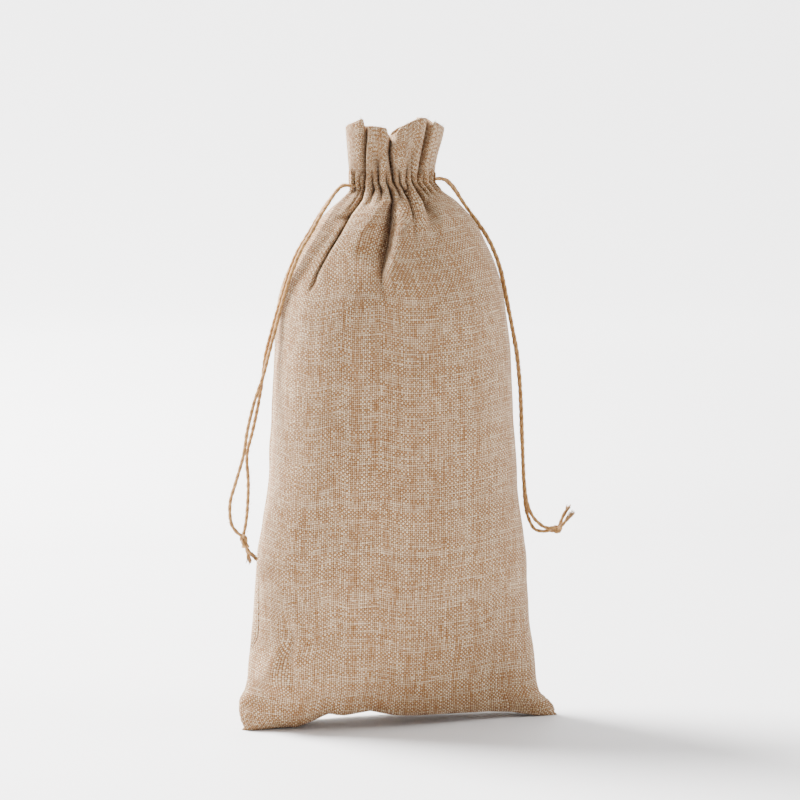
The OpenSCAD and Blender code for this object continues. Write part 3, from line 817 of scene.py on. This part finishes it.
def shape_body(grid, front):
    """Soft unevenness of the cloth, the lower left bulge and its creases, the ears and the base."""
    x, y, z = grid[:, :, 0].copy(), grid[:, :, 1].copy(), grid[:, :, 2].copy()
    out = np.stack([x / 70 ** 2, y / 36 ** 2, np.zeros_like(x)], axis=2)
    out /= np.maximum(np.linalg.norm(out, axis=2), 1e-9)[:, :, None]
    bumps = np.zeros_like(x)
    for j in range(grid.shape[0]):
        for i in range(grid.shape[1]):
            p = Vector((x[j, i], y[j, i], z[j, i]))
            wide = noise.noise(p * 0.028)
            narrow = noise.noise(p * 0.075 + Vector((5, 0, 0)))
            bumps[j, i] = 1.5 * wide + 0.5 * narrow
    grid += out * (bumps * band(z, 4, 30, 250, 275))[:, :, None]
    if front:
        bulge = 5.2 * bell((x + 63.5) / 8.5, (z - 28) / np.where(z > 28, 12, 7))
        crease_x = -61 + (57 - z) * 0.19
        crease = -2.4 * bell((x - crease_x) / 2.8) * band(z, 18, 30, 52, 66)
        ridge = 1.0 * bell((x - crease_x - 6.5) / 4) * band(z, 18, 34, 46, 66)
        shoulder = 1.6 * bell((x - 18.5) / 4.5, (z - 262.5) / 5)
        ear_crease = -1.4 * bell((z - 12 - (x + 76) * 0.55) / 2.4) * (1 - smoothstep(-72, -64, x))
        relief = bulge + crease + ridge + shoulder + ear_crease
        grid += out * (relief * smoothstep(0, 3, -y))[:, :, None]
    # the corners at the floor reach forward and are blunt on the left
    far = smoothstep(48, 78, np.abs(x))
    corner = np.where(x < 0, table(LEFT_CORNER, z), table(RIGHT_CORNER, z))
    grid[:, :, 0] += np.sign(x) * corner * far + table(LEAN, z)
    grid[:, :, 1] -= 5 * smoothstep(58, 82, np.abs(x)) * (1 - smoothstep(2, 22, z))
    # the edge of the base stands off the floor in front, and less at the back
    rows = outline_rows()
    edge = smoothstep(2, 12, rows[:, 1])
    rim = (0.85 + (0.15 if front else -0.5) * edge) * (1 - smoothstep(8, 30, rows[:, 2]))
    grid[:, :, 2] += table(FRONT_LIFT, x) * rim[:, None]
    slide_seam(grid, rows)
    return grid


def slide_seam(grid, rows):
    """Slides the cloth round the left side, so that the low part of that seam comes to the front."""
    depth, roundness = np.maximum(rows[:, 1:2], 1), rows[:, 3:4]
    x, y, z = grid[:, :, 0], grid[:, :, 1], grid[:, :, 2]

    def reach(at):
        share = np.clip(np.abs(at) / depth, 0, 0.995)
        return (1 - share ** roundness) ** (1 / roundness)

    slid = y - 5.6 * band(z, 39, 50, 52, 132) * bell(y / 13)
    grid[:, :, 0] = np.where(x < -30, x * reach(slid) / reach(y), x)
    grid[:, :, 1] = np.where(x < -30, slid, y)


def sew_edges(grid, front):
    """Rolls the side edges in to a narrow groove that opens into the drawstring's slit."""
    count = grid.shape[1]
    side = -1 if front else 1
    for k, (tuck, gap) in enumerate(((1.2, 0.06), (0.55, 0.3), (0.15, 0.3))):
        for column, way in ((k, 1), (count - 1 - k, -1)):
            grid[:, column, 0] += way * tuck
            slit = band(grid[:, column, 2], 276.5, 278.5, 284.5, 287)
            grid[:, column, 1] += side * (gap + slit * 1.9)
    return grid


def facing_rows(grid, front):
    """The hem: over the top edge and down inside to below the lower stitches."""
    side = 1 if front else -1
    keep = grid[:, COLUMNS // 2, 2] > CASING_LOW - 4
    rows = grid[keep][::-1]
    across = np.gradient(rows, axis=1)
    up = np.gradient(rows, axis=0)
    inward = np.cross(across, up)
    inward /= np.maximum(np.linalg.norm(inward, axis=2), 1e-9)[:, :, None]
    if np.sum(inward[:, COLUMNS // 2, 1]) * side < 0:
        inward *= -1
    facing = rows + inward * FACING_GAP
    middle = np.array([0, -0.9 * side, 0])
    flat = rows * np.array([0.93, 0, 1]) + middle
    shut = smoothstep(290, 285, rows[:, :, 2:3])
    facing = facing * (1 - shut) + flat * shut
    # the fold over the top edge
    crown = [rows[0] + inward[0] * along + np.array([0, 0, up_by])
             for along, up_by in ((0.25, 0.45), (0.75, 0.65), (1.25, 0.45))]
    return np.concatenate([np.array(crown), facing])


def flat_places(grid, flat):
    """UVs in threads: across the cloth, and up it along each column."""
    steps = np.linalg.norm(np.diff(grid, axis=0), axis=2)
    up = np.concatenate([np.zeros((1, grid.shape[1])), np.cumsum(steps, axis=0)])
    across = np.broadcast_to(flat, grid.shape[:2])
    return np.stack([across / PITCH, up / PITCH], axis=2)


def build_panel(name, folds, tops, front):
    """One panel with its hem, as an object, and the grid of its outside."""
    grid, flat = panel_grid(folds, tops, not front)
    grid = relax(grid, 262, 5)
    grid = shape_body(grid, front)
    grid = sew_edges(grid, front)
    outer = grid.copy()
    grid = np.concatenate([grid, facing_rows(grid, front)])
    uv = flat_places(grid, flat)
    if not front:
        uv[:, :, 0] += BACK_THREADS
    rows, columns = grid.shape[:2]
    faces = []
    for j in range(rows - 1):
        for i in range(columns - 1):
            a = j * columns + i
            quad = (a, a + 1, a + 1 + columns, a + columns)
            faces.append(quad if front else quad[::-1])
    obj = new_object(name, grid.reshape(-1, 3), faces, uv.reshape(-1, 2), LINEN)
    solid = obj.modifiers.new("thickness", "SOLIDIFY")
    solid.thickness = THICK * MM
    solid.offset = -1
    apply_modifiers(obj)
    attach(obj, "bag")
    return obj, outer


front_cloth, front_grid = build_panel("front_linen", FRONT_FOLDS, FRONT_TOP, True)
back_cloth, back_grid = build_panel("back_linen", BACK_FOLDS, BACK_TOP, False)
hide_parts("front_panel")
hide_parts("back_panel")


# ---------------------------------------------------------------- sewing

def row_line(grid, z):
    """The line across a panel at height z."""
    heights = grid[:, COLUMNS // 2, 2]
    j = int(np.argmin(np.abs(heights - z)))
    return grid[j]


def dashes(line, start, stitch, gap, radius):
    """Stitches along a line, the first and the last this far from its ends."""
    along = lengths(line)
    parts = []
    at = start
    while at + stitch < along[-1] - start:
        t = np.linspace(at, at + stitch, 7)
        points = np.stack([np.interp(t, along, line[:, k]) for k in range(3)], axis=1)
        parts.append(tube_mesh(points, radius, 6))
        at += stitch + gap
    return joined(parts)


def sewn(name, mesh, node):
    """A row of stitches on the bag, in place of one node."""
    obj = new_object(name, *mesh, material=THREAD)
    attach(obj, "bag")
    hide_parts(node)


def panel_stitches(name, grid, z):
    """A row of stitches across one panel, half sunk into the cloth."""
    row = dashes(row_line(grid, z)[4:-4], 1.5, 2.4, 1.3, PANEL_THREAD)
    sewn(name + "_stitching", row, name + "_stitches")


for face_name, face_grid in (("front", front_grid), ("back", back_grid)):
    for level, height in (("upper", CASING_HIGH), ("lower", CASING_LOW)):
        panel_stitches(face_name + "_" + level, face_grid, height)


def seam_stitches(name, column, node):
    """Thread that shows between the panels down a side seam, apart from the drawstring's slit."""
    line = (front_grid[:, column] + back_grid[:, column]) / 2
    line = even(line[6:], 1.0)
    low = line[line[:, 2] < CASING_LOW]
    high = line[line[:, 2] > CASING_HIGH]
    parts = [dashes(part, 1.0, 2.2, 1.0, SEAM_THREAD) for part in (low, high)]
    sewn(name, joined(parts), node)


seam_stitches("left_seam_stitching", 1, "left_seam_thread")
seam_stitches("right_seam_stitching", COLUMNS - 2, "right_seam_thread")

bottom_line = even((front_grid[0] + back_grid[0]) / 2 + np.array([0, 0, 0.6]), 1.0)
sewn("bottom_seam_stitching", dashes(bottom_line, 2.0, 2.2, 1.0, SEAM_THREAD), "bottom_seam_thread")


def loose_threads():
    """Threads that stand out of the cut and folded top edge, most at the left flap's corner."""
    rng = random.Random(31)
    edge = front_grid[-1]
    parts = []
    for x in (-17.4, -17.8, -18.4, -23, -9, 3.5, 5.2, 12, 16.5, 21, 25):
        root = Vector(edge[int(np.argmin(np.abs(edge[:, 0] - x)))]) + Vector((0, 0.3, 0.2))
        length = rng.uniform(1.2, 2.8)
        way = Vector((rng.uniform(-0.2, 0.8), rng.uniform(-0.5, 0.2), rng.uniform(0.4, 1))).normalized()
        bent = Vector((rng.uniform(0, 0.7), rng.uniform(-0.4, 0.4), rng.uniform(-0.4, 0.4)))
        line = catmull([root, root + way * length * 0.5, root + (way + bent * 0.6) * length], 4)
        parts.append(tube_mesh(line, np.linspace(0.13, 0.08, len(line)), 5))
    threads = new_object("ruffle_loose_threads", *joined(parts), material=THREAD)
    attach(threads, "bag")


loose_threads()


# ---------------------------------------------------------------- floor and light

def make_backdrop():
    """A pale table and wall all round, joined by a wide curve."""
    profile = [(0.01, 0), (0.6, 0), (1.6, 0), (2.2, 0)]
    for k in range(1, 11):
        a = k / 10 * math.pi / 2
        profile.append((2.2 + 0.9 * math.sin(a), 0.9 - 0.9 * math.cos(a)))
    profile.append((3.1, 3.4))
    sides = 48
    points = [(0, 0, 0)]
    for r, z in profile[1:]:
        for k in range(sides):
            a = 2 * math.pi * k / sides
            points.append((r * math.cos(a) / MM, r * math.sin(a) / MM, z / MM))
    faces = [(0, 1 + k, 1 + (k + 1) % sides) for k in range(sides)]
    for j in range(len(profile) - 2):
        for k in range(sides):
            m = (k + 1) % sides
            base = 1 + j * sides
            faces.append((base + k, base + k + sides, base + m + sides, base + m))
    floor = new_object("backdrop", points, faces, material=paper_floor_material())


def area_light(name, place, aim, size, power):
    """A round soft light at a place, turned towards its aim."""
    data = bpy.data.lights.new(name, "AREA")
    data.shape = "DISK"
    data.size = size
    data.energy = power
    light = bpy.data.objects.new(name, data)
    light.location = place
    light.rotation_euler = (Vector(aim) - Vector(place)).to_track_quat("-Z", "Y").to_euler()
    bpy.context.scene.collection.objects.link(light)


make_backdrop()
for light_facts in LIGHTS:
    area_light(*light_facts)
world = bpy.data.worlds.new("world")
bpy.context.scene.world = world
world.use_nodes = True
sky = world.node_tree.nodes["Background"]
sky.inputs["Color"].default_value = (1, 1, 1, 1)
sky.inputs["Strength"].default_value = SKY_STRENGTH
